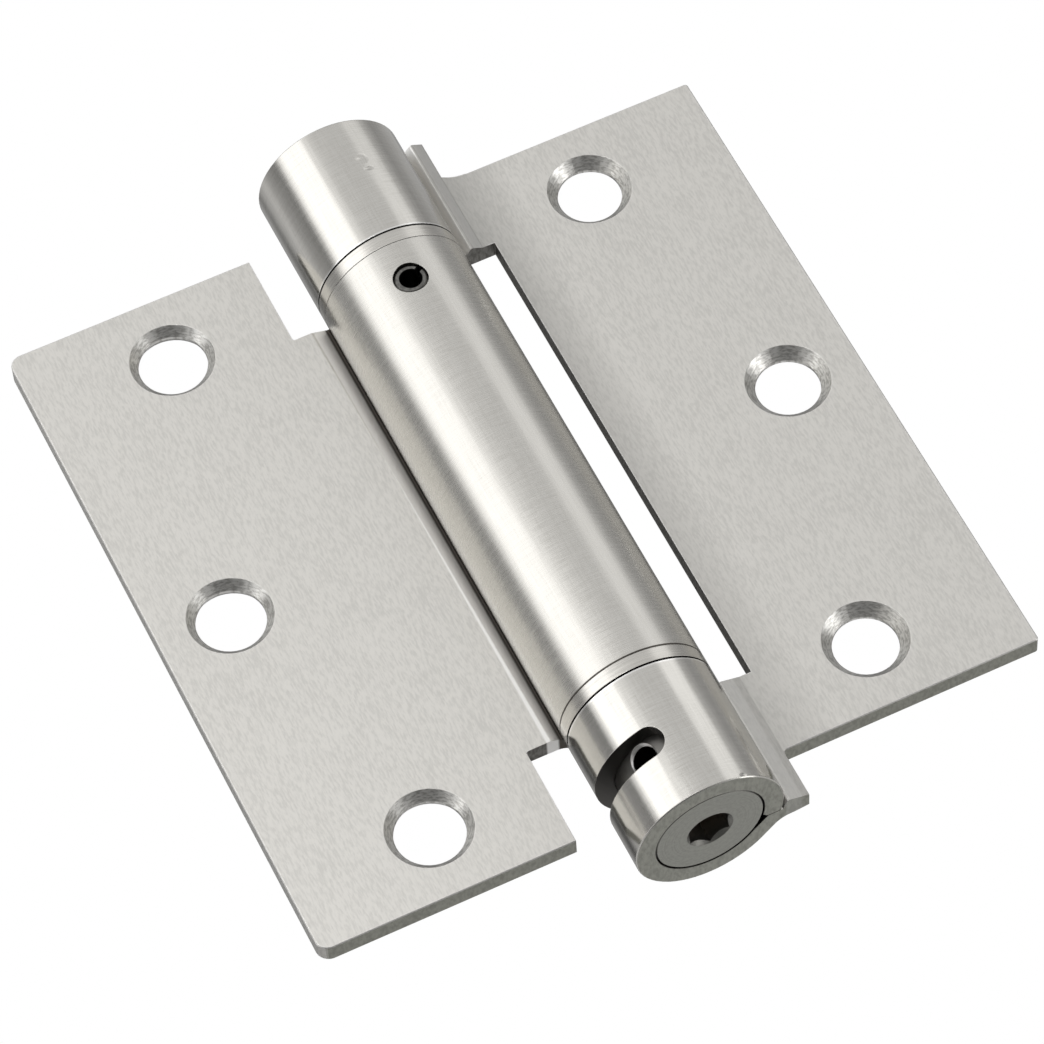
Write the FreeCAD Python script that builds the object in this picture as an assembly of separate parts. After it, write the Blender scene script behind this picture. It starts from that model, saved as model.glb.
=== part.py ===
# Adjustable spring hinge for a door, opened flat: two folded steel leaves round one barrel.
# The hinge axis is +Z, the leaves lie in the XZ plane and their countersunk faces look to -Y.
# The frame leaf, with the two end knuckles, is on the +X side. The origin is the middle of the barrel.
import FreeCAD, Part
import math
import os

V = FreeCAD.Vector
os.makedirs("parts", exist_ok=True)

# sheet and leaves
leaf_height = 88.9
leaf_width = 44.45          # hinge axis to the outer edge
sheet = 2.4                 # thickness of the sheet, flat or rolled
face_set_back = 1.7         # countersunk faces lie this far behind the axis
edge_break = 0.12           # small break along the front edges of the leaves
frame_corner_r = 0.4        # outer corners of the frame leaf
door_corner_r = 1.6         # outer corners of the door leaf

# rolled barrel
barrel_r = 9.1
barrel_overhang = 6.35      # barrel past each end of the leaves
notch_height = 12.85        # door leaf's notch beside each end knuckle
jog_angle = 45.0            # slope of the sheet where it steps back behind the barrel
jog_back_r = 2.6            # bend between the leaf and that slope, on the back
knuckle_end_break = 0.12    # bevelled rim at the two ends of the barrel

# where the end of the roll is pressed on to its own leaf
lip_seat_depth = 0.65       # flat seat, pressed in below the countersunk face
lip_seat_run = 0.1          # door leaf's seat, out past the barrel
lip_gap = 0.1               # left between the seat and the end of the roll
lip_bevel = 0.55            # inner corner of the roll's end
ridge_rise = 0.75           # metal thrown up beside the seat on the frame leaf, corner not yet rounded
ridge_r = 0.4
top_ridge_run = 1.65        # ridge of the top knuckle and the outer end of its seat, past the barrel
top_seat_run = 0.5
bottom_ridge_run = 0.5      # the same on the bottom knuckle
bottom_seat_run = -0.12
dish_top_run = 2.0          # door leaf, pressed down from here to the seat: upper end, past the barrel
dish_bottom_run = 1.2       # and lower end
dish_slope = 18.0

# window beside the centre knuckle, necks and notches
window_run = 4.6            # inner edge of the frame leaf beside the centre knuckle, past the barrel
neck_run = 3.1              # edge of the necks where they pass the leaf's ends, past the barrel
neck_web_rise = 0.8         # upper neck, where a large punch radius runs into the leaf's end
neck_web_run = 2.8
neck_fillet = 0.4           # lower neck
neck_thinning = 0.35        # backs of the necks, hammered thinner towards their outer edge
neck_thinning_run = 2.8
notch_run = 4.3             # inner edge of the door leaf beside the end knuckles, past the barrel
notch_corner_r = 0.3

# screw holes, three in each leaf
screw_end_margin = 8.87     # outer pair, in from the leaf's upper and lower ends
screw_end_inset = 17.3      # outer pair, in from the outer edge
screw_mid_inset = 8.95      # middle hole, in from the outer edge
frame_hole_r = 3.85         # holes of the frame leaf
door_hole_r = 4.1           # holes of the door leaf
sink_rim_r = 5.08
sink_angle = 82.0           # included angle of the countersinks
hole_land = 0.35            # straight wall left under the countersink
hole_break_out = 0.45       # how much wider the punch breaks out at the back

# bearing rings between the knuckles
ring_thickness = 1.68
ring_seat_gap = 0.06        # between the centre knuckle and a ring
ring_running_gap = 0.24     # between a ring and an end knuckle

# pivot plug, pinned in the top of the centre knuckle
running_clearance = 0.08    # radial, plugs and adjuster in the rolled bores
ring_bore_clearance = 0.06
pivot_engagement = 15.0     # length of the plug inside the centre knuckle
pivot_recess = 0.4          # top face below the end of the barrel
plug_chamfer = 0.5
pin_drop = 5.4              # middle of the pin below the centre knuckle's upper end
pin_r = 2.05
pin_bore_r = 1.35
pin_slit = 0.75
pin_slit_angle = 32.0       # side of the pin that its slit faces
pin_hole_clearance = 0.05
pin_recess = 0.25
pin_lead_chamfer = 0.3

# tension adjuster in the bottom knuckle
adjuster_engagement = 11.0  # length of the adjuster inside the centre knuckle
adjuster_recess = 0.05
adjuster_face_chamfer = 0.15
hex_flats = 4.76
hex_depth = 5.0
hex_lead_r = 2.85           # mouth of the socket's conical lead-in
tension_hole_r = 1.6
tension_hole_depth = 4.4
tension_hole_count = 4
tension_hole_angle = -126.0 # the hole that shows in the slot
tension_hole_lead = 0.2
tension_rise = 8.45         # middle of the tension holes and of the slot above the barrel's end
tension_slot_width = 3.8
tension_slot_from = -111.0  # middle of the slot's end that shows, degrees about the axis
tension_slot_to = -230.0    # middle of its hidden end

# torsion spring between the plug and the adjuster
spring_wire_width = 2.0     # flat wire, across the coil
spring_wire_height = 2.8    # flat wire, along the axis
spring_wall_gap = 0.5       # coil to the rolled bore
spring_half_turns = 13
spring_end_gap = 0.5        # coil to the faces of the plug and the adjuster
tang_length = 5.0
tang_clearance = 0.15

# sizes that follow
half_leaf = leaf_height / 2
half_barrel = half_leaf + barrel_overhang
half_centre = half_leaf - notch_height
bore_r = barrel_r - sheet
face_y = face_set_back
back_y = face_set_back + sheet
seat_y = face_set_back + lip_seat_depth
neck_edge_x = barrel_r + neck_run
window_edge_x = barrel_r + window_run
notch_edge_x = barrel_r + notch_run
screw_end_z = half_leaf - screw_end_margin
pin_z = half_centre - pin_drop
tension_z = -half_barrel + tension_rise
ring_inner_z = half_centre + ring_seat_gap
ring_outer_z = ring_inner_z + ring_thickness
knuckle_z = ring_outer_z + ring_running_gap
plug_r = bore_r - running_clearance
ring_bore_r = plug_r + ring_bore_clearance
adjuster_top_z = -half_centre + adjuster_engagement
pivot_bottom_z = half_centre - pivot_engagement
tang_slot_depth = tang_length + tang_clearance
spring_mean_r = bore_r - spring_wall_gap - spring_wire_width / 2
spring_top_angle = -180.0 * spring_half_turns


def save(shape, node):
    solids = shape.Solids
    if len(solids) != 1 or not shape.isValid():
        raise ValueError(f"{node}: {len(solids)} solids, valid {shape.isValid()}")
    solids[0].exportStep(f"parts/{node}.step")
    box = solids[0].BoundBox
    print(f"{node}: {solids[0].Volume:.1f} mm3, {box.XLength:.2f} x {box.YLength:.2f} x {box.ZLength:.2f}")


def polar(radius, angle_deg, z=0.0):
    angle = math.radians(angle_deg)
    return V(radius * math.cos(angle), radius * math.sin(angle), z)


def disc(radius, z_from, z_to):
    return Part.makeCylinder(radius, z_to - z_from, V(0, 0, z_from), V(0, 0, 1))


def block(x_from, x_to, y_from, y_to, z_from, z_to):
    return Part.makeBox(x_to - x_from, y_to - y_from, z_to - z_from, V(x_from, y_from, z_from))


def arc(centre, radius, from_deg, to_deg):
    """Arc in the XY plane that runs from one angle to the other, either way round."""
    middle = (from_deg + to_deg) / 2
    points = [centre + polar(radius, a) for a in (from_deg, middle, to_deg)]
    return Part.Arc(*points).toShape()


def line(start, end):
    return Part.makeLine(start, end)


def edge_end(edge, last=True):
    return edge.valueAt(edge.LastParameter if last else edge.FirstParameter)


def rounded(before, corner, after, radius):
    """Arc of a given radius in the corner between two straight lines."""
    to_before = (before - corner).normalize()
    to_after = (after - corner).normalize()
    half_angle = to_before.getAngle(to_after) / 2
    middle_way = (to_before + to_after).normalize()
    reach = radius / math.tan(half_angle)
    middle = corner + middle_way * (radius / math.sin(half_angle) - radius)
    return Part.Arc(corner + to_before * reach, middle, corner + to_after * reach).toShape()


def on_circle(radius, y):
    return V(math.sqrt(radius * radius - y * y), y, 0)


def on_slope(radius, y):
    """Point at height y on the line that leaves the circle of that radius at the jog's angle."""
    normal = polar(1, 90 - jog_angle)
    return V((radius - y * normal.y) / normal.x, y, 0)


def rolled_section(leaf_end_x, seat_x, ridge_x=None):
    """Section of a leaf, right-hand side: flat, seat of the lip, jog behind the barrel, roll and lip."""
    tangent_deg = 90 - jog_angle
    lip_y = seat_y - lip_gap
    lip_inner = on_circle(bore_r, lip_y - lip_bevel)
    lip_outer = on_circle(barrel_r, lip_y)
    lip_tip = V(lip_inner.x + lip_bevel, lip_y, 0)
    seat_inner = on_slope(bore_r, seat_y)
    seat_outer = V(seat_x, seat_y, 0)
    leaf_front = V(leaf_end_x, face_y, 0)
    leaf_back = V(leaf_end_x, back_y, 0)
    back_corner = on_slope(barrel_r, back_y)
    back_bend = rounded(leaf_back, back_corner, polar(barrel_r, tangent_deg), jog_back_r)
    inner_roll = arc(V(0, 0, 0), bore_r, tangent_deg, 360 + polar_angle(lip_inner))
    outer_roll = arc(V(0, 0, 0), barrel_r, 360 + polar_angle(lip_outer), tangent_deg)
    front = [line(leaf_front, V(seat_x, face_y, 0)), line(V(seat_x, face_y, 0), seat_outer)]
    if ridge_x:
        corner = V(ridge_x, face_y - ridge_rise, 0)
        crest = rounded(leaf_front, corner, seat_outer, ridge_r)
        front = [line(leaf_front, edge_end(crest, False)), crest, line(edge_end(crest), seat_outer)]
    edges = front + [line(seat_outer, seat_inner),
                     line(seat_inner, polar(bore_r, tangent_deg)),
                     inner_roll,
                     line(lip_inner, lip_tip),
                     line(lip_tip, lip_outer),
                     outer_roll,
                     line(polar(barrel_r, tangent_deg), edge_end(back_bend)),
                     back_bend,
                     line(edge_end(back_bend, False), leaf_back),
                     line(leaf_back, leaf_front)]
    return Part.Face(Part.Wire(edges))


def polar_angle(point):
    return math.degrees(math.atan2(point.y, point.x))


def rolled_strip(section, z_from, z_to):
    section.translate(V(0, 0, z_from))
    return section.extrude(V(0, 0, z_to - z_from))


def plate(inner_x, corner_r):
    """Flat part of a leaf, right-hand side, with rounded outer corners."""
    flat = block(inner_x, leaf_width, face_y, back_y, -half_leaf, half_leaf)
    corners = [e for e in flat.Edges if along_y(e) and abs(e.CenterOfMass.x - leaf_width) < 1e-6]
    flat = flat.makeFillet(corner_r, corners)
    return flat.makeChamfer(edge_break, front_outline(flat))


def along_y(edge):
    start, end = edge.valueAt(edge.FirstParameter), edge.valueAt(edge.LastParameter)
    return abs(abs(end.y - start.y) - edge.Length) < 1e-6


def inner_corners(shape, x, z):
    """The two edges through the sheet's thickness at x and at z above and below the middle."""
    found = [e for e in shape.Edges if along_y(e)
             and abs(e.CenterOfMass.x - x) < 1e-6 and abs(abs(e.CenterOfMass.z) - z) < 1e-6]
    return found


def roll_rims(shape, z):
    """Outer edges of a rolled knuckle's end faces at z above and below the middle."""
    rims = []
    for edge in shape.Edges:
        round_edge = hasattr(edge.Curve, "Radius") and abs(edge.Curve.Radius - barrel_r) < 1e-6
        if round_edge and abs(abs(edge.CenterOfMass.z) - z) < 1e-6:
            rims.append(edge)
    return rims


def front_outline(shape):
    """Outer straight and corner edges of the countersunk face, without necks and windows."""
    found = []
    for edge in shape.Edges:
        middle = edge.valueAt((edge.FirstParameter + edge.LastParameter) / 2)
        on_face = abs(middle.y - face_y) < 1e-6 and abs(edge.CenterOfMass.y - face_y) < 1e-6
        outer = abs(middle.x - leaf_width) < 1e-6
        if on_face and outer:
            found.append(edge)
    return found


def screw_hole(x, z, hole_r):
    """Countersunk hole through a leaf: cone, short straight land, and the punch's break-out behind."""
    sink_depth = (sink_rim_r - hole_r) / math.tan(math.radians(sink_angle / 2))
    land_y = face_y + sink_depth
    break_y = land_y + hole_land
    into = V(0, 1, 0)
    sink = Part.makeCone(sink_rim_r, hole_r, sink_depth, V(x, face_y, z), into)
    land = Part.makeCylinder(hole_r, hole_land, V(x, land_y, z), into)
    break_out = Part.makeCone(hole_r, hole_r + hole_break_out, back_y - break_y, V(x, break_y, z), into)
    return sink.multiFuse([land, break_out])


def cut_screw_holes(leaf, hole_r):
    end_x = leaf_width - screw_end_inset
    mid_x = leaf_width - screw_mid_inset
    for x, z in ((end_x, screw_end_z), (mid_x, 0), (end_x, -screw_end_z)):
        leaf = leaf.cut(screw_hole(x, z, hole_r))
    return leaf


def tension_slot():
    """Slot part of the way round the bottom knuckle, with round ends, for the tension pin."""
    reach = barrel_r + 1
    start = tension_slot_to
    sweep = tension_slot_from - tension_slot_to
    low = tension_z - tension_slot_width / 2
    ring = Part.makeCylinder(reach, tension_slot_width, V(0, 0, low), V(0, 0, 1), sweep)
    ring.rotate(V(0, 0, 0), V(0, 0, 1), start)
    slot = ring.cut(disc(bore_r / 2, low - 1, low + tension_slot_width + 1))
    for angle in (tension_slot_from, tension_slot_to):
        end = Part.makeCylinder(tension_slot_width / 2, reach, V(0, 0, tension_z), polar(1, angle))
        slot = slot.fuse(end)
    return slot.cut(disc(bore_r / 2, low - 1, low + tension_slot_width + 1))


def frame_leaf():
    flat = plate(neck_edge_x, frame_corner_r)
    window = block(neck_edge_x - 1, window_edge_x, face_y - 1, back_y + 1, -knuckle_z, knuckle_z)
    top_section = rolled_section(neck_edge_x, barrel_r + top_seat_run, barrel_r + top_ridge_run)
    top = rolled_strip(top_section, knuckle_z, half_barrel)
    bottom_section = rolled_section(neck_edge_x, barrel_r + bottom_seat_run, barrel_r + bottom_ridge_run)
    bottom = rolled_strip(bottom_section, -half_barrel, -knuckle_z)
    webs = [neck_web(1, neck_web_run, neck_web_rise), neck_web(-1, neck_fillet, neck_fillet)]
    leaf = flat.cut(window).multiFuse([top, bottom] + webs).removeSplitter()
    leaf = leaf.makeChamfer(knuckle_end_break, roll_rims(leaf, half_barrel))
    return cut_screw_holes(leaf, frame_hole_r).cut(tension_slot()).cut(neck_wedge(1)).cut(neck_wedge(-1))


def neck_web(side, run, rise):
    """Metal left by the punch between a neck and the leaf's end, upper with side 1, lower with -1."""
    radius = (run ** 2 + rise ** 2) / (2 * rise)
    far_x = neck_edge_x + run
    z_from, z_to = sorted((side * (half_leaf - 1), side * (half_leaf + rise)))
    punch_base = V(far_x, face_y - 1, side * (half_leaf + radius))
    web = block(neck_edge_x, far_x, face_y, back_y, z_from, z_to)
    return web.cut(Part.makeCylinder(radius, sheet + 2, punch_base, V(0, 1, 0)))


def neck_wedge(side):
    """Thin wedge off the back of a neck, past the leaf's end."""
    outer_x = neck_edge_x + 1
    inner_x = neck_edge_x - neck_thinning_run
    z_from, z_to = sorted((side * (half_leaf + neck_web_rise), side * (half_barrel + 1)))
    thinned_y = back_y - neck_thinning * (outer_x - inner_x) / neck_thinning_run
    corners = [V(inner_x, back_y, z_from), V(outer_x, thinned_y, z_from), V(outer_x, back_y + 1, z_from)]
    return Part.Face(Part.makePolygon(corners + corners[:1])).extrude(V(0, 0, z_to - z_from))


def door_leaf():
    flat = plate(notch_edge_x, door_corner_r)
    roll = rolled_strip(rolled_section(notch_edge_x, barrel_r + lip_seat_run), -half_centre, half_centre)
    leaf = flat.fuse(roll).removeSplitter().cut(seat_dish())
    leaf = leaf.makeFillet(notch_corner_r, inner_corners(leaf, notch_edge_x, half_centre))
    leaf = cut_screw_holes(leaf, door_hole_r)
    leaf = leaf.mirror(V(0, 0, 0), V(1, 0, 0))
    return leaf.cut(pin_hole(barrel_r + 1))


def seat_dish():
    """Wedge pressed out of the door leaf beside the seat, right-hand side, wider at the upper end."""
    depth = math.tan(math.radians(dish_slope))
    seat_x = barrel_r + lip_seat_run
    faces = []
    rings = []
    for run, z in ((dish_bottom_run, -half_centre - 1), (dish_top_run, half_centre + 1)):
        x = barrel_r + run
        foot = V(seat_x, face_y + (x - seat_x) * depth, z)
        rings.append([V(seat_x, face_y, z), foot, V(x, face_y, z)])
    low, high = rings
    faces.append(Part.Face(Part.makePolygon(low + low[:1])))
    faces.append(Part.Face(Part.makePolygon(high + high[:1])))
    for i in range(3):
        j = (i + 1) % 3
        faces.append(Part.Face(Part.makePolygon([low[i], low[j], high[j], high[i], low[i]])))
    return Part.Solid(Part.Shell(faces))


def pin_hole(reach):
    return Part.makeCylinder(pin_r + pin_hole_clearance, 2 * reach, V(0, -reach, pin_z), V(0, 1, 0))


def roll_pin():
    """Rolled spring pin through the barrel and the plug, split along one side."""
    reach = barrel_r - pin_recess
    pin = Part.makeCylinder(pin_r, 2 * reach, V(0, -reach, pin_z), V(0, 1, 0))
    ends = [e for e in pin.Edges if hasattr(e.Curve, "Radius")]
    pin = pin.makeChamfer(pin_lead_chamfer, ends)
    bore = Part.makeCylinder(pin_bore_r, 2 * reach + 2, V(0, -reach - 1, pin_z), V(0, 1, 0))
    slit = block(0, pin_r + 1, -reach - 1, reach + 1, pin_z - pin_slit / 2, pin_z + pin_slit / 2)
    slit.rotate(V(0, 0, pin_z), V(0, -1, 0), pin_slit_angle)
    return pin.cut(bore).cut(slit)


def bearing_ring(side):
    z_from, z_to = sorted((side * ring_inner_z, side * ring_outer_z))
    return disc(barrel_r, z_from, z_to).cut(disc(ring_bore_r, z_from - 1, z_to + 1))


def tang_slot(angle, z_face, way):
    """Radial slot in a plug's inner end for a spring tang; way is +1 upwards into the metal."""
    inner_x = spring_mean_r - spring_wire_width / 2 - tang_clearance
    z_from, z_to = sorted((z_face - way, z_face + way * tang_slot_depth))
    y_from, y_to = sorted((way * tang_clearance, -way * (spring_wire_width + tang_clearance)))
    slot = block(inner_x, plug_r + 1, y_from, y_to, z_from, z_to)
    slot.rotate(V(0, 0, 0), V(0, 0, 1), angle)
    return slot


def chamfered_bar(z_from, z_to, chamfer_z):
    bar = disc(plug_r, z_from, z_to)
    rims = [e for e in bar.Edges if hasattr(e.Curve, "Radius") and abs(e.CenterOfMass.z - chamfer_z) < 1e-6]
    return bar, rims


def pivot_plug():
    """Turned plug: pinned in the centre knuckle, and the top knuckle turns on it."""
    top_z = half_barrel - pivot_recess
    bar, rims = chamfered_bar(pivot_bottom_z, top_z, top_z)
    bar = bar.makeChamfer(plug_chamfer, rims)
    bar = bar.cut(tang_slot(spring_top_angle, pivot_bottom_z, 1))
    return bar.cut(pin_hole(barrel_r + 1))


def hex_socket(z_face):
    corner_r = hex_flats / math.sqrt(3)
    corners = [polar(corner_r, 90 + 60 * i, z_face) for i in range(6)]
    wall = Part.Face(Part.makePolygon(corners + corners[:1])).extrude(V(0, 0, hex_depth))
    lead_end_r = 0.49 * hex_flats
    lead = Part.makeCone(hex_lead_r, lead_end_r, hex_lead_r - lead_end_r, V(0, 0, z_face))
    return wall.fuse(lead)


def tension_hole(angle):
    """Blind radial hole in the adjuster, with a small lead-in for the pin."""
    floor = polar(plug_r - tension_hole_depth, angle, tension_z)
    mouth = polar(plug_r, angle, tension_z)
    out = polar(1, angle)
    hole = Part.makeCylinder(tension_hole_r, tension_hole_depth + 1, floor, out)
    lead_start = mouth - out * (2 * tension_hole_lead)
    lead = Part.makeCone(tension_hole_r, tension_hole_r + 3 * tension_hole_lead, 3 * tension_hole_lead,
                         lead_start, out)
    return hole.fuse(lead)


def tension_adjuster():
    """Turned adjuster with a hex socket, a ring of pin holes and a slot for the spring."""
    face_z = -half_barrel + adjuster_recess
    bar, rims = chamfered_bar(face_z, adjuster_top_z, face_z)
    bar = bar.makeChamfer(adjuster_face_chamfer, rims)
    bar = bar.cut(tang_slot(0, adjuster_top_z, -1))
    for i in range(tension_hole_count):
        bar = bar.cut(tension_hole(tension_hole_angle + i * 360 / tension_hole_count))
    return bar.cut(hex_socket(face_z))


def torsion_spring():
    """Left-hand coil of flat wire, so that turning the adjuster towards closing winds it up."""
    half_wire = spring_wire_height / 2
    low_z = adjuster_top_z + spring_end_gap + half_wire
    high_z = pivot_bottom_z - spring_end_gap - half_wire
    rise = (high_z - low_z) / spring_half_turns
    pieces = [half_turn(i, low_z + (i + 0.5) * rise, rise) for i in range(spring_half_turns)]
    pieces.append(tang(0, -1, adjuster_top_z - tang_length, low_z + half_wire))
    pieces.append(tang(spring_top_angle, 1, high_z - half_wire, pivot_bottom_z + tang_length))
    return pieces[0].multiFuse(pieces[1:])


def half_turn(index, middle_z, rise):
    """Half a turn of the coil: half a tube between two planes that rise across it."""
    outer_r = spring_mean_r + spring_wire_width / 2
    inner_r = spring_mean_r - spring_wire_width / 2
    tilt = math.atan2(rise, 2 * spring_mean_r)
    thickness = spring_wire_height * math.cos(tilt)
    slab = block(-2 * outer_r, 2 * outer_r, -outer_r - 1, 0, -thickness / 2, thickness / 2)
    slab.rotate(V(0, 0, 0), V(0, 1, 0), math.degrees(tilt))
    tube = disc(outer_r, -2 * outer_r, 2 * outer_r).cut(disc(inner_r, -2 * outer_r, 2 * outer_r))
    piece = tube.common(slab)
    piece.rotate(V(0, 0, 0), V(0, 0, 1), -180 * index)
    piece.translate(V(0, 0, middle_z))
    return piece


def tang(angle, way, z_from, z_to):
    """Straight end of the spring, bent along the axis into the slot of its plug."""
    inner_x = spring_mean_r - spring_wire_width / 2
    y_from, y_to = sorted((0, -way * spring_wire_width))
    leg = block(inner_x, inner_x + spring_wire_width, y_from, y_to, z_from, z_to)
    leg.rotate(V(0, 0, 0), V(0, 0, 1), angle)
    return leg


save(frame_leaf(), "frame_leaf")
save(door_leaf(), "door_leaf")
save(pivot_plug(), "pivot_plug")
save(roll_pin(), "roll_pin")
save(bearing_ring(1), "upper_bearing_ring")
save(bearing_ring(-1), "lower_bearing_ring")
save(tension_adjuster(), "tension_adjuster")
save(torsion_spring(), "torsion_spring")
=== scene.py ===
# Spring hinge opened flat, seen from the countersunk side and a little from below.
import bpy
import math
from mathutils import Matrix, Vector

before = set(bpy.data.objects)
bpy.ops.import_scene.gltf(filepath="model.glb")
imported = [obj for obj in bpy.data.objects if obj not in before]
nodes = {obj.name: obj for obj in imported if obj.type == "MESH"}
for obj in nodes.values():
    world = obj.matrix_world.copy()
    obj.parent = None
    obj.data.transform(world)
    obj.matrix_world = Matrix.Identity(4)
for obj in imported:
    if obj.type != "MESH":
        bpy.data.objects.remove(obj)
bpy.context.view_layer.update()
print("frame loaded:", len(nodes), "nodes")

scene = bpy.context.scene
scene.view_settings.view_transform = "Standard"

cameraSetup = {
    "location": (-0.13439, -0.53916, -0.33729),
    "turnDeg": (124.7043, 25.5327, 2.7178),
    "lens": 195.727,
    "nearClip": 0.01,
}

cameraData = bpy.data.cameras.new("camera")
cameraData.lens = cameraSetup["lens"]
cameraData.clip_start = cameraSetup["nearClip"]
cameraObject = bpy.data.objects.new("camera", cameraData)
cameraObject.location = cameraSetup["location"]
cameraObject.rotation_euler = [math.radians(angle) for angle in cameraSetup["turnDeg"]]
scene.collection.objects.link(cameraObject)
scene.camera = cameraObject
print("camera placed")


# makes a node, sets its options, and fills or links its inputs
def addNode(tree, kind, inputs=None, **settings):
    node = tree.nodes.new(kind)
    for name, value in settings.items():
        setattr(node, name, value)
    for key, value in (inputs or {}).items():
        if isinstance(value, bpy.types.NodeSocket):
            tree.links.new(value, node.inputs[key])
        else:
            node.inputs[key].default_value = value
    return node


def calc(tree, operation, *values, clamp=False):
    inputs = dict(enumerate(values))
    return addNode(tree, "ShaderNodeMath", inputs, operation=operation, use_clamp=clamp).outputs[0]


def vectorCalc(tree, operation, *values):
    inputs = dict(enumerate(values))
    return addNode(tree, "ShaderNodeVectorMath", inputs, operation=operation).outputs


def product(tree, *values):
    result = values[0]
    for value in values[1:]:
        result = calc(tree, "MULTIPLY", result, value)
    return result


# the larger of several masks
def either(tree, *masks):
    result = masks[0]
    for mask in masks[1:]:
        result = calc(tree, "MAXIMUM", result, mask)
    return result


def outsideOf(tree, mask):
    return calc(tree, "SUBTRACT", 1.0, mask)


# 0 at low, 1 at high, smooth between; high may be the lower one
def span(tree, value, low, high):
    inputs = {0: value, 1: low, 2: high}
    return addNode(tree, "ShaderNodeMapRange", inputs, interpolation_type="SMOOTHSTEP").outputs[0]


# a span over two limits; with four it rises over the first two and falls over the last two
def zone(tree, value, limits):
    inside = span(tree, value, limits[0], limits[1])
    if len(limits) > 2:
        inside = product(tree, inside, span(tree, value, limits[3], limits[2]))
    return inside


def mixColor(tree, factor, first, second):
    node = addNode(tree, "ShaderNodeMix", {0: factor, 6: first, 7: second}, data_type="RGBA")
    return node.outputs[2]


def mixValue(tree, factor, first, second):
    return addNode(tree, "ShaderNodeMix", {0: factor, 2: first, 3: second}).outputs[0]


# Studio light by direction from the hinge, in degrees. The wall is given by azimuth and level,
# and so is what lies below and above it. A panel covers what lies under it.
studio = {
    "wall": (
        (-180, 0.30), (-168, 0.20), (-160, 0.30), (-154, 0.95), (-135, 1.02), (-120, 1.08),
        (-108, 1.00), (-101, 0.76), (-75, 0.71), (-50, 0.72), (-30, 0.74), (-20, 0.60),
        (0, 0.34), (30, 0.48), (45, 0.62), (60, 0.34), (90, 0.42), (105, 0.26),
        (120, 0.05), (138, 0.50), (150, 0.67), (165, 0.42),
    ),
    "below": ((-180, 1.08), (-135, 0.13), (-90, 1.66), (-45, 0.05), (0, 0.05), (45, 0.36), (135, 0.37)),
    "above": ((-180, 0.74), (-90, 1.50), (0, 0.05), (90, 0.38)),
    "wallFrom": 10, "wallTo": 50, "wallSoftness": 6, "brightest": 2.0,
    "panels": {
        "pale wall top, behind left": {"at": (116, 62), "half": (20, 26), "soft": 4, "level": 0.6},
        "left softbox, waist": {"at": (-154, 30.5), "half": (13, 3), "soft": 3, "level": 1.5},
        "right softbox, waist": {"at": (-34, 30.5), "half": (14, 3), "soft": 3, "level": 1.5},
        "dark beam, right waist": {"at": (62, 30.5), "half": (30, 3), "soft": 3, "level": 0.2},
        "left glow, low": {"at": (-171, 5), "half": (18, 9), "soft": 4, "level": 1.8},
    },
    "lamps": {
        "key": {"place": (-0.388, -0.337, 0.309), "size": (0.40, 0.75), "power": 0.6},
        "low front": {"place": (-0.10, -0.42, 0.06), "size": (0.16, 0.08), "power": 0.2},
        "low right": {"place": (0.403, -0.131, -0.265), "size": (0.30, 0.26), "power": 0.38},
    },
}


# level by azimuth, through the given points and round to the first again; a ramp holds
# colours up to 1, so the levels go in divided by the brightest one that it can give
def byAzimuth(tree, azimuth, points, brightest):
    turn = calc(tree, "DIVIDE", calc(tree, "ADD", azimuth, 180.0), 360.0)
    ramp = addNode(tree, "ShaderNodeValToRGB", {0: turn})
    stops = ramp.color_ramp.elements
    for angle, value in points[1:]:
        stops.new((angle + 180) / 360)
    for stop, (angle, value) in zip(stops, (*points, (180, points[0][1]))):
        stop.position = (angle + 180) / 360
        stop.color = (value / brightest, value / brightest, value / brightest, 1)
    return product(tree, ramp.outputs[0], brightest)


# 1 inside a panel of the studio, 0 outside
def inPanel(tree, azimuth, elevation, panel):
    turned = calc(tree, "WRAP", calc(tree, "SUBTRACT", azimuth, panel["at"][0]), 180.0, -180.0)
    raised = calc(tree, "SUBTRACT", elevation, panel["at"][1])
    soft = panel["soft"]
    masks = [span(tree, calc(tree, "ABSOLUTE", away), half + soft, half - soft)
             for away, half in zip((turned, raised), panel["half"])]
    return product(tree, *masks)


world = bpy.data.worlds.new("studio")
scene.world = world
world.use_nodes = True
tree = world.node_tree
tree.nodes.clear()
direction = addNode(tree, "ShaderNodeTexCoord").outputs["Generated"]
x, y, z = addNode(tree, "ShaderNodeSeparateXYZ", {0: direction}).outputs
azimuth = calc(tree, "DEGREES", calc(tree, "ARCTAN2", y, x))
elevation = calc(tree, "DEGREES", calc(tree, "ARCSINE", z))
wall, below, above = [byAzimuth(tree, azimuth, studio[part], studio["brightest"])
                      for part in ("wall", "below", "above")]
level = below
for border, nextLevel in ((studio["wallFrom"], wall), (studio["wallTo"], above)):
    soft = studio["wallSoftness"]
    level = mixValue(tree, span(tree, elevation, border - soft, border + soft), level, nextLevel)
for panel in studio["panels"].values():
    level = mixValue(tree, inPanel(tree, azimuth, elevation, panel), level, panel["level"])
# the camera sees plain white behind the hinge
cameraRay = addNode(tree, "ShaderNodeLightPath").outputs["Is Camera Ray"]
level = mixValue(tree, cameraRay, level, 1.0)
background = addNode(tree, "ShaderNodeBackground", {"Color": (1, 1, 1, 1), "Strength": level})
addNode(tree, "ShaderNodeOutputWorld", {0: background.outputs[0]})

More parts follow.
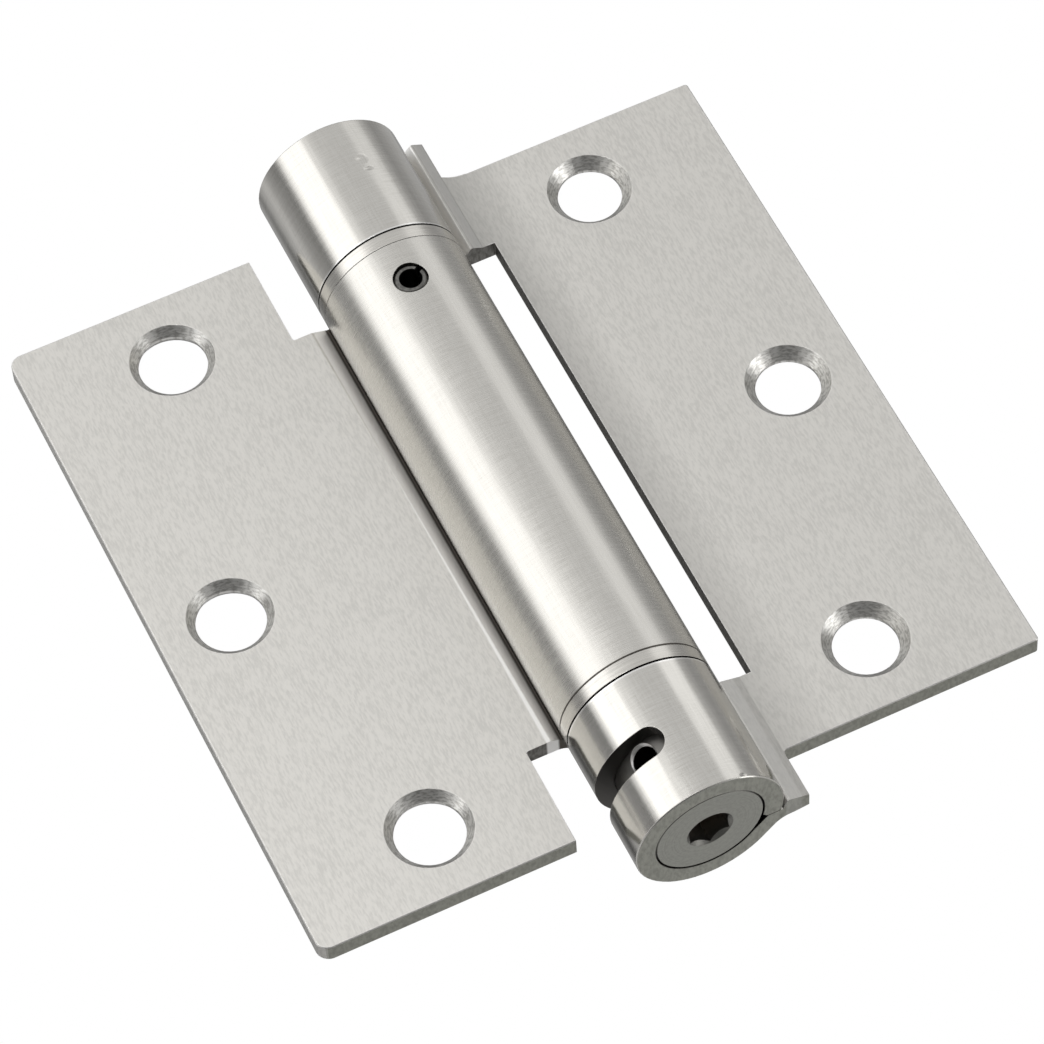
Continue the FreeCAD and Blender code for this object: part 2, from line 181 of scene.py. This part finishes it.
for name, lampSetup in studio["lamps"].items():
    data = bpy.data.lights.new(name, "AREA")
    data.shape = "RECTANGLE"
    data.size, data.size_y = lampSetup["size"]
    data.energy = lampSetup["power"]
    lamp = bpy.data.objects.new(name, data)
    lamp.location = lampSetup["place"]
    lamp.rotation_euler = (-Vector(lampSetup["place"])).to_track_quat("-Z", "Y").to_euler()
    lamp.visible_camera = False
    scene.collection.objects.link(lamp)

# pale to the camera, and darker round a spot on the camera's side to all other rays
floorSetup = {
    "height": -0.42, "halfSize": 6.0, "seen": 0.9, "lift": 0.35,
    "spot": (-0.25, -0.30), "spotEdge": (0.25, 0.75), "reflected": (0.22, 0.86),
}


def makeFloor(v):
    half = v["halfSize"]
    corners = [(x, y, v["height"]) for x, y in ((-half, -half), (half, -half), (half, half), (-half, half))]
    mesh = bpy.data.meshes.new("floor")
    mesh.from_pydata(corners, [], [(0, 1, 2, 3)])
    floor = bpy.data.objects.new("floor", mesh)
    scene.collection.objects.link(floor)

    material = bpy.data.materials.new("paleFloor")
    material.use_nodes = True
    tree = material.node_tree
    tree.nodes.clear()
    cameraRay = addNode(tree, "ShaderNodeLightPath").outputs["Is Camera Ray"]
    place = addNode(tree, "ShaderNodeTexCoord").outputs["Object"]
    away = vectorCalc(tree, "DISTANCE", place, (*v["spot"], v["height"]))["Value"]
    shade = mixValue(tree, zone(tree, away, v["spotEdge"]), *v["reflected"])
    shade = mixValue(tree, cameraRay, shade, v["seen"])
    diffuse = addNode(tree, "ShaderNodeBsdfDiffuse", {"Color": shade})
    lift = addNode(tree, "ShaderNodeEmission", {"Strength": product(tree, cameraRay, v["lift"])})
    both = addNode(tree, "ShaderNodeAddShader", {0: diffuse.outputs[0], 1: lift.outputs[0]})
    addNode(tree, "ShaderNodeOutputMaterial", {0: both.outputs[0]})
    mesh.materials.append(material)


makeFloor(floorSetup)
print("studio and floor made")


def scaled(tree, vector, factors):
    return vectorCalc(tree, "MULTIPLY", vector, factors)[0]


def distance(tree, x, y):
    flat = addNode(tree, "ShaderNodeCombineXYZ", {0: x, 1: y}).outputs[0]
    return vectorCalc(tree, "LENGTH", flat)["Value"]


# position in millimetres in the hinge's frame, its three parts, and the distance from the axis
def coordinates(tree):
    place = addNode(tree, "ShaderNodeTexCoord").outputs["Object"]
    place = scaled(tree, place, (1000, 1000, 1000))
    x, y, z = addNode(tree, "ShaderNodeSeparateXYZ", {0: place}).outputs
    return place, x, y, z, distance(tree, x, y)


# how much the true surface faces along x, y and z
def facing(tree):
    normal = addNode(tree, "ShaderNodeNewGeometry").outputs["True Normal"]
    turned = addNode(tree, "ShaderNodeVectorTransform", {0: normal},
                     convert_from="WORLD", convert_to="OBJECT").outputs[0]
    parts = addNode(tree, "ShaderNodeSeparateXYZ", {0: turned}).outputs
    return [calc(tree, "ABSOLUTE", part) for part in parts]


# noise with so many grains per millimetre along each axis
def grain(tree, place, stretch, detail=3):
    inputs = {"Vector": scaled(tree, place, stretch), "Scale": 1.0, "Detail": detail, "Roughness": 0.55}
    return addNode(tree, "ShaderNodeTexNoise", inputs).outputs["Fac"]


# a colour between a dark and a light one, by where the tone lies between its two limits
def shaded(tree, tone, limits, darkAndLight):
    return mixColor(tree, span(tree, tone, *limits), *darkAndLight)


def weighted(tree, values, shares):
    return calc(tree, "ADD", *[product(tree, value, share) for value, share in zip(values, shares)])


# 1 in the middle of an oval mark, 0 past its half sizes, all in millimetres
def mark(tree, place, middle, halfSizes):
    away = vectorCalc(tree, "SUBTRACT", place, middle)[0]
    away = scaled(tree, away, [1 / half for half in halfSizes])
    return span(tree, vectorCalc(tree, "LENGTH", away)["Value"], 1.0, 0.0)


def newMaterial(name):
    material = bpy.data.materials.new(name)
    material.use_nodes = True
    tree = material.node_tree
    tree.nodes.clear()
    surface = addNode(tree, "ShaderNodeBsdfPrincipled", {"Metallic": 1.0})
    addNode(tree, "ShaderNodeOutputMaterial", {0: surface.outputs[0]})
    return material, tree, surface


def addBump(tree, normal, height, depth):
    inputs = {"Strength": 1.0, "Distance": depth, "Height": height, "Normal": normal}
    return addNode(tree, "ShaderNodeBump", inputs).outputs[0]


def finishSurface(tree, surface, v, color, rough, relief, dents=None):
    normal = addNode(tree, "ShaderNodeBevel", {"Radius": v["bevel"]}, samples=4).outputs[0]
    if dents is not None:
        normal = addBump(tree, normal, dents, v["dentDepth"])
    normal = addBump(tree, normal, relief, v["depth"])
    tree.links.new(color, surface.inputs["Base Color"])
    tree.links.new(rough, surface.inputs["Roughness"])
    tree.links.new(normal, surface.inputs["Normal"])


# Both leaves. Colours in pairs are dark and light. A grain is its stretch and detail. Zones
# are in millimetres, or for the facing ones a share; relief depths are in metres.
leafSteel = {
    "flat": ((0.608, 0.596, 0.566, 1), (0.705, 0.690, 0.656, 1)),
    "roll": ((0.59, 0.575, 0.54, 1), (0.66, 0.645, 0.61, 1)),
    "end": ((0.30, 0.30, 0.265, 1), (0.40, 0.40, 0.355, 1)),
    # painted shade on the inner cut faces at the notches and the window
    "shadedCut": ((0.13, 0.125, 0.115, 1), (0.24, 0.235, 0.22, 1)),
    # painted highlight on the leaves' outer sides
    "outer": ((0.70, 0.69, 0.66, 1), (0.90, 0.89, 0.86, 1)),
    "sink": ((0.50, 0.49, 0.465, 1), (0.80, 0.79, 0.76, 1)),
    # painted shade for hidden faces under the roll, the bore, the slot and the seam gaps
    "inside": (0.09, 0.085, 0.078, 1),
    # painted highlight colour, for edges, pressed slopes, the low ridge, the dish and the seam lips
    "paintedHighlight": (0.88, 0.87, 0.85, 1),
    # painted shade, darkening the frame leaf towards its fold
    "foldShade": (0.12, 0.12, 0.115, 1),
    # painted shade in the groove beside the barrel and at the lower seam
    "grime": (0.10, 0.09, 0.08, 1),
    # painted shade on the wall of the roll pin's hole
    "pinHole": (0.26, 0.255, 0.24, 1),
    "flatTint": (0.6, 0.6, 0.6, 1), "rollTint": (1, 1, 1, 1),
    "foldShadeShare": (0.28, 0.42), "slopeShare": (1.0, 0.3), "ridgeShare": 0.2,

    "flatRoughness": (0.46, 0.56), "centreRoughness": (0.22, 0.32), "endRoughness": (0.13, 0.22),
    "cutRoughness": 0.45, "sinkRoughness": 0.34, "highlightRoughness": 0.34,

    "grains": {
        "flat": ((4.5, 4.5, 1.1), 3), "patches": ((0.25, 0.25, 0.18), 2),
        "roll": ((0.35, 0.35, 7.0), 3), "streak": ((5.0, 5.0, 0.25), 2), "cut": ((3.0, 1.2, 3.0), 3),
    },
    "chatterPerMm": 7.0, "chatterPerTurn": 6.0, "chatterDetail": 2,
    "flatShares": (0.85, 0.15), "rollShares": (0.6, 0.4),
    "flatRange": (0.32, 0.62), "rollRange": (0.3, 0.65), "cutRange": (0.3, 0.65),
    "sinkRange": (0.35, 0.6), "highlightRange": (0.25, 0.5),
    "flatRelief": 0.6, "rollRelief": (0.5, 0.3), "sinkRelief": 6.0, "depth": 0.0000025,

    "bevel": 0.00012, "highlightEdgeRadius": 0.00022, "highlightEdgeSamples": 6,
    "dents": (
        ((2.1, -8.85, 44.6), (1.1, 0.6, 0.9)),
        ((2.4, -8.8, 43.0), (0.8, 0.5, 0.4)),
        ((4.3, -8.0, -50.5), (0.6, 0.5, 0.4)),
    ),
    "dentDepth": 0.00006,
    "holes": ((27.15, 35.58), (35.5, 0.0)), "pinZ": 26.2,

    "zones": {
        # share of the surface that faces along an axis, or that agrees with its neighbour
        "faces": (0.8, 0.95), "cone": (0.92, 0.85), "slopeFaces": (0.3, 0.5), "edge": (0.99, 0.93),
        # distance from the barrel's axis
        "roll": (9.35, 9.2), "underRoll": (9.0, 8.9), "bore": (6.78, 6.73),
        "clearOfRoll": (11.0, 11.5), "seamRim": (9.4, 9.2),
        # up or down from the middle
        "endKnuckle": (32.5, 33.0), "seamEdge": (33.88, 33.68), "nearSeam": (36.0, 35.0),
        "leafEnd": (44.0, 44.3),
        # along z
        "slot": (-46.0, -45.0, -40.0, -39.0), "lowerSeam": (-33.0, -32.0, -31.46, -31.4),
        "lowNeck": (-33.0, -33.5), "upward": (-30.0, 30.0),
        # left or right from the middle
        "wearing": (12.6, 13.0), "outerSide": (43.9, 44.3),
        # along x: the frame leaf's, then the door leaf's
        "frameSide": (0.0, 1.0), "fold": (19.5, 12.0), "slope": (9.0, 9.2, 12.0, 12.2),
        "slopeTop": (10.6, 11.2), "lowRidge": (9.2, 9.4, 11.2, 11.5),
        "dish": (-10.95, -10.7, -9.4, -9.1), "groove": (-9.55, -9.15, -8.3, -8.0),
        # along y
        "flank": (1.1, 0.5), "front": (-6.0, -7.0),
        # distance from a screw hole's middle and from the roll pin's
        "sink": (5.15, 5.11), "pinHole": (2.6, 2.4),
    },
}


# distance from the nearest screw hole's middle, and the tool marks round it
def aroundHoles(tree, v, across, height):
    offsets = [(calc(tree, "SUBTRACT", across, holeX), calc(tree, "SUBTRACT", height, holeZ))
               for holeX, holeZ in v["holes"]]
    distances = [distance(tree, *offset) for offset in offsets]
    turns = [calc(tree, "ARCTAN2", up, aside) for aside, up in offsets]
    toHole = calc(tree, "MINIMUM", *distances)
    turn = mixValue(tree, calc(tree, "LESS_THAN", distances[1], distances[0]), *turns)
    inputs = {0: product(tree, toHole, v["chatterPerMm"]), 1: product(tree, turn, v["chatterPerTurn"])}
    chatterPlace = addNode(tree, "ShaderNodeCombineXYZ", inputs).outputs[0]
    return toHole, grain(tree, chatterPlace, (1.0, 1.0, 1.0), v["chatterDetail"])


def makeLeafSteel(v):
    material, tree, surface = newMaterial("satinLeafSteel")
    place, x, y, z, radius = coordinates(tree)
    alongX, alongY, alongZ = facing(tree)
    height = calc(tree, "ABSOLUTE", z)
    across = calc(tree, "ABSOLUTE", x)
    toHole, chatter = aroundHoles(tree, v, across, height)
    grains = {name: grain(tree, place, *setting) for name, setting in v["grains"].items()}

    def within(value, name):
        return zone(tree, value, v["zones"][name])

    onRoll = within(radius, "roll")
    onEndKnuckle = within(height, "endKnuckle")
    endwise = within(alongZ, "faces")
    lengthwise = outsideOf(tree, endwise)
    sideways = product(tree, within(alongX, "faces"), within(radius, "clearOfRoll"))
    underRoll = within(radius, "underRoll")
    nearHole = within(toHole, "sink")
    cone = product(tree, nearHole, within(alongY, "cone"))

    # flat metal, darkened with painted shade towards the frame leaf's fold, more at the top, and the rolled
    # metal
    flatTone = weighted(tree, (grains["flat"], grains["patches"]), v["flatShares"])
    flatColor = shaded(tree, flatTone, v["flatRange"], v["flat"])
    foldStart, foldEnd = v["zones"]["fold"]
    fold = calc(tree, "DIVIDE", calc(tree, "SUBTRACT", foldStart, x), foldStart - foldEnd, clamp=True)
    foldShadeShare = mixValue(tree, within(z, "upward"), *v["foldShadeShare"])
    fold = product(tree, fold, within(x, "frameSide"), foldShadeShare)
    flatColor = mixColor(tree, fold, flatColor, v["foldShade"])
    rollTone = weighted(tree, (grains["roll"], grains["streak"]), v["rollShares"])
    rollColor = shaded(tree, rollTone, v["rollRange"], v["roll"])
    color = mixColor(tree, onRoll, flatColor, rollColor)

    # cut faces: sides, outer sides, ends and countersinks; the inner cut faces take a dark colour, painted
    # shade, and the outer sides a light one, a painted highlight
    cutTone = span(tree, grains["cut"], *v["cutRange"])
    endColor, shadedCutColor, outerHighlightColor = [mixColor(tree, cutTone, *v[name])
                                        for name in ("end", "shadedCut", "outer")]
    sideColor = mixColor(tree, within(across, "outerSide"), shadedCutColor, outerHighlightColor)
    color = mixColor(tree, sideways, color, sideColor)
    endColor = mixColor(tree, within(height, "leafEnd"), shadedCutColor, endColor)
    color = mixColor(tree, endwise, color, endColor)
    color = mixColor(tree, cone, color, shaded(tree, chatter, v["sinkRange"], v["sink"]))

    # painted highlights: a light colour in place of glints on edges, pressed slopes, the low ridge and the
    # dish
    rounded = addNode(tree, "ShaderNodeBevel", {"Radius": v["highlightEdgeRadius"]}, samples=v["highlightEdgeSamples"])
    trueNormal = addNode(tree, "ShaderNodeNewGeometry").outputs["True Normal"]
    agree = vectorCalc(tree, "DOT_PRODUCT", rounded.outputs[0], trueNormal)["Value"]
    onEdge = product(tree, within(agree, "edge"), lengthwise, span(tree, grains["cut"], *v["highlightRange"]),
                     outsideOf(tree, nearHole), within(across, "wearing"))
    slopeShare = mixValue(tree, within(x, "slopeTop"), *v["slopeShare"])
    slope = product(tree, within(alongX, "slopeFaces"), onEndKnuckle, within(x, "slope"), slopeShare)
    lowRidge = product(tree, within(x, "lowRidge"), within(z, "lowNeck"), v["ridgeShare"])
    onFlank = product(tree, onRoll, within(y, "flank"))
    besideRoll = outsideOf(tree, either(tree, onFlank, onEndKnuckle))
    dish = product(tree, within(x, "dish"), besideRoll)
    color = mixColor(tree, either(tree, onEdge, slope, lowRidge, dish), color, v["paintedHighlight"])

    # painted shade in the groove beside the barrel and at the lower seam, painted highlights on the knuckle
    # lips at the seams, and painted shade on what lies inside the barrel
    groove = product(tree, within(x, "groove"), besideRoll)
    color = mixColor(tree, groove, color, v["grime"])
    color = mixColor(tree, product(tree, onRoll, within(z, "lowerSeam")), color, v["grime"])
    # painted highlight on the knuckle lips at the seams
    atSeam = product(tree, onRoll, onEndKnuckle, within(height, "seamEdge"))
    color = mixColor(tree, atSeam, color, v["paintedHighlight"])
    # painted shade on the faces under the roll and in the bore
    insideShadeMask = either(tree, product(tree, underRoll, lengthwise), within(radius, "bore"))
    color = mixColor(tree, insideShadeMask, color, v["inside"])
    # painted shade on the wall round the roll pin
    toPin = distance(tree, x, calc(tree, "SUBTRACT", z, v["pinZ"]))
    atPin = product(tree, within(toPin, "pinHole"), underRoll, within(y, "front"))
    color = mixColor(tree, atPin, color, v["pinHole"])
    # painted shade in the slot and in the seam gaps
    inSlot = product(tree, onRoll, endwise, within(z, "slot"))
    inSeam = product(tree, endwise, within(radius, "seamRim"), within(height, "nearSeam"))
    color = mixColor(tree, either(tree, inSlot, inSeam), color, v["inside"])

    flatRough = mixValue(tree, grains["flat"], *v["flatRoughness"])
    centreRough = mixValue(tree, grains["roll"], *v["centreRoughness"])
    endRough = mixValue(tree, grains["roll"], *v["endRoughness"])
    rough = mixValue(tree, onRoll, flatRough, mixValue(tree, onEndKnuckle, centreRough, endRough))
    cut = either(tree, endwise, sideways)
    rough = mixValue(tree, cut, rough, v["cutRoughness"])
    rough = mixValue(tree, cone, rough, v["sinkRoughness"])
    rough = mixValue(tree, onEdge, rough, v["highlightRoughness"])

    rollRelief = weighted(tree, (grains["roll"], grains["streak"]), v["rollRelief"])
    relief = mixValue(tree, onRoll, product(tree, grains["flat"], v["flatRelief"]), rollRelief)
    relief = mixValue(tree, cut, relief, grains["cut"])
    relief = mixValue(tree, cone, relief, product(tree, chatter, v["sinkRelief"]))
    dents = product(tree, either(tree, *[mark(tree, place, *dent) for dent in v["dents"]]), -1.0)
    finishSurface(tree, surface, v, color, rough, relief, dents)
    tint = mixColor(tree, onRoll, v["flatTint"], v["rollTint"])
    tree.links.new(tint, surface.inputs["Specular Tint"])
    return material


# the plug and the adjuster, with the adjuster's hex socket and tension holes
turnedSteel = {
    # the sides' dark colour is painted shade where they show in the slot; the tension holes get painted
    # shade and their lead chamfers a painted highlight
    "face": ((0.31, 0.31, 0.28, 1), (0.38, 0.38, 0.345, 1)), "side": (0.17, 0.165, 0.155, 1),
    "socket": (0.34, 0.315, 0.28, 1), "holeShade": (0.035, 0.03, 0.026, 1), "rim": (0.95, 0.94, 0.92, 1),
    "roughness": (0.32, 0.45), "bevel": 0.0001, "depth": 0.000002,
    "ringsPerMm": 6.0, "speckle": ((2.5, 2.5, 2.5), 3), "shares": (0.4, 0.6), "range": (0.35, 0.62),
    "holeZ": -42.35,
    "zones": {
        "face": (0.6, 0.9),
        "socketRound": (2.95, 2.85), "socketDepth": (-50.35, -49.15, -31.0, -30.0),
        "holeHeight": (2.1, 2.05), "holeDepth": (6.60, 6.58), "rimDepth": (6.16, 6.22),
    },
}


def makeTurnedSteel(v):
    material, tree, surface = newMaterial("turnedSteel")
    place, _, _, z, radius = coordinates(tree)
    zones = v["zones"]
    inputs = {"W": product(tree, radius, v["ringsPerMm"]), "Scale": 1.0, "Detail": 2}
    rings = addNode(tree, "ShaderNodeTexNoise", inputs, noise_dimensions="1D").outputs["Fac"]
    speckle = grain(tree, place, *v["speckle"])
    tone = weighted(tree, (rings, speckle), v["shares"])
    faceColor = shaded(tree, tone, v["range"], v["face"])
    # the sides take a dark colour, painted shade where they show in the slot
    color = mixColor(tree, zone(tree, facing(tree)[2], zones["face"]), v["side"], faceColor)
    inSocket = product(tree, zone(tree, radius, zones["socketRound"]), zone(tree, z, zones["socketDepth"]))
    fromHole = calc(tree, "ABSOLUTE", calc(tree, "SUBTRACT", z, v["holeZ"]))
    inHole = product(tree, zone(tree, fromHole, zones["holeHeight"]), zone(tree, radius, zones["holeDepth"]))
    onRim = product(tree, inHole, zone(tree, radius, zones["rimDepth"]))
    color = mixColor(tree, inSocket, color, v["socket"])
    # painted shade inside the tension holes, and a painted highlight on their lead chamfers
    color = mixColor(tree, inHole, color, v["holeShade"])
    color = mixColor(tree, onRim, color, v["rim"])
    rough = mixValue(tree, speckle, *v["roughness"])
    finishSurface(tree, surface, v, color, rough, tone)
    return material


rollPin = {
    # the near-black bore colour is painted shade in the pin's hollow
    "steel": ((0.13, 0.127, 0.12, 1), (0.20, 0.196, 0.185, 1)), "bore": (0.028, 0.028, 0.027, 1),
    "roughness": (0.3, 0.45), "bevel": 0.00012, "depth": 0.000002,
    "speckle": ((3.0, 3.0, 3.0), 3), "range": (0.35, 0.62), "z": 26.2, "boreZone": (1.41, 1.38),
}


def makePinSteel(v):
    material, tree, surface = newMaterial("darkPinSteel")
    place, x, _, z, _ = coordinates(tree)
    speckle = grain(tree, place, *v["speckle"])
    fromAxis = distance(tree, x, calc(tree, "SUBTRACT", z, v["z"]))
    color = shaded(tree, speckle, v["range"], v["steel"])
    # painted shade in the pin's bore
    color = mixColor(tree, zone(tree, fromAxis, v["boreZone"]), color, v["bore"])
    rough = mixValue(tree, speckle, *v["roughness"])
    finishSurface(tree, surface, v, color, rough, speckle)
    return material


bearingRings = {
    "steel": ((0.58, 0.565, 0.53, 1), (0.67, 0.65, 0.61, 1)), "ends": (0.09, 0.085, 0.078, 1),
    "roughness": (0.18, 0.28), "stretch": (0.3, 0.3, 9.0), "range": (0.3, 0.65),
    "endFaces": (0.8, 0.95), "bevel": 0.0001, "depth": 0.000002,
}
torsionSpring = {
    "steel": ((0.08, 0.075, 0.07, 1), (0.16, 0.15, 0.14, 1)), "ends": (0.10, 0.095, 0.09, 1),
    "roughness": (0.3, 0.45), "stretch": (1.5, 1.5, 3.0), "range": (0.3, 0.65),
    "endFaces": (0.8, 0.95), "bevel": 0.0001, "depth": 0.000002,
}


# ground or drawn steel with lines round it and darker end faces
def makeLinedSteel(name, v):
    material, tree, surface = newMaterial(name)
    place = coordinates(tree)[0]
    lines = grain(tree, place, v["stretch"])
    color = shaded(tree, lines, v["range"], v["steel"])
    color = mixColor(tree, zone(tree, facing(tree)[2], v["endFaces"]), color, v["ends"])
    rough = mixValue(tree, lines, *v["roughness"])
    finishSurface(tree, surface, v, color, rough, lines)
    return material


leafMaterial = makeLeafSteel(leafSteel)
turnedMaterial = makeTurnedSteel(turnedSteel)
pinMaterial = makePinSteel(rollPin)
ringMaterial = makeLinedSteel("groundRingSteel", bearingRings)
springMaterial = makeLinedSteel("oiledSpringSteel", torsionSpring)

finishes = {
    "frame_leaf": leafMaterial, "door_leaf": leafMaterial,
    "upper_bearing_ring": ringMaterial, "lower_bearing_ring": ringMaterial,
    "pivot_plug": turnedMaterial, "tension_adjuster": turnedMaterial,
    "roll_pin": pinMaterial, "torsion_spring": springMaterial,
}
for name, material in finishes.items():
    for slot in nodes[name].material_slots:
        slot.material = material
print("finishes made")
